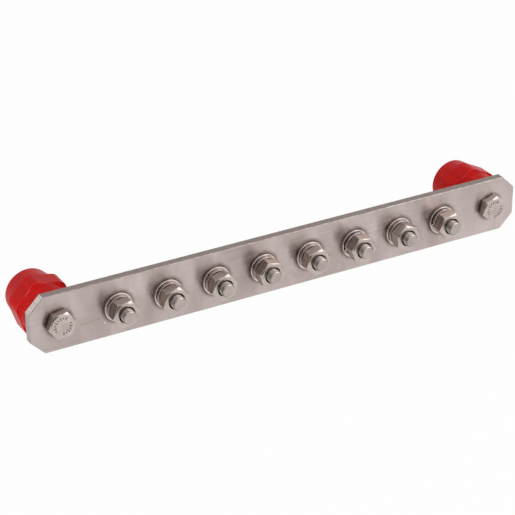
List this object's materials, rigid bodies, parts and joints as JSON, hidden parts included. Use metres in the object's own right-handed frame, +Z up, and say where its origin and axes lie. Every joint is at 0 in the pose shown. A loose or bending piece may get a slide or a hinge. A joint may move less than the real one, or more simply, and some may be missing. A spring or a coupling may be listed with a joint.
{
  "type": "earth terminal bar",
  "caption": "Flat steel earth bar with a row of bolted terminal studs, held off the wall on two moulded insulators.",
  "frame": {"origin": "on the wall plane, midway between the two insulators", "axes": "+X along the bar, +Y into the wall, +Z up; the studs point to -Y"},
  "size_m": [0.37, 0.066, 0.0402],
  "materials": {
    "bar_steel": "satin, brushed along the bar",
    "fastener_steel": "plain stainless steel, lightly polished",
    "insulator_moulding": "semi-gloss red moulding",
    "insert_brass": "turned, bare"
  },
  "bodies": {
    "root": {"earth_bar": "bar_steel", "stud_bolt_1": "fastener_steel", "stud_bolt_2": "fastener_steel", "stud_bolt_3": "fastener_steel", "stud_bolt_4": "fastener_steel", "stud_bolt_5": "fastener_steel", "stud_bolt_6": "fastener_steel", "stud_bolt_7": "fastener_steel", "stud_bolt_8": "fastener_steel", "back_washer_1": "fastener_steel", "back_washer_2": "fastener_steel", "back_washer_3": "fastener_steel", "back_washer_4": "fastener_steel", "back_washer_5": "fastener_steel", "back_washer_6": "fastener_steel", "back_washer_7": "fastener_steel", "back_washer_8": "fastener_steel", "front_washer_1": "fastener_steel", "front_washer_2": "fastener_steel", "front_washer_3": "fastener_steel", "front_washer_4": "fastener_steel", "front_washer_5": "fastener_steel", "front_washer_6": "fastener_steel", "front_washer_7": "fastener_steel", "front_washer_8": "fastener_steel", "spring_washer_1": "fastener_steel", "spring_washer_2": "fastener_steel", "spring_washer_3": "fastener_steel", "spring_washer_4": "fastener_steel", "spring_washer_5": "fastener_steel", "spring_washer_6": "fastener_steel", "spring_washer_7": "fastener_steel", "spring_washer_8": "fastener_steel", "nut_1": "fastener_steel", "nut_2": "fastener_steel", "nut_3": "fastener_steel", "nut_4": "fastener_steel", "nut_5": "fastener_steel", "nut_6": "fastener_steel", "nut_7": "fastener_steel", "nut_8": "fastener_steel", "insulator_left": "insulator_moulding", "insulator_right": "insulator_moulding", "front_insert_left": "insert_brass", "front_insert_right": "insert_brass", "back_insert_left": "insert_brass", "back_insert_right": "insert_brass", "fixing_bolt_left": "fastener_steel", "fixing_bolt_right": "fastener_steel"}
  },
  "joints": []
}
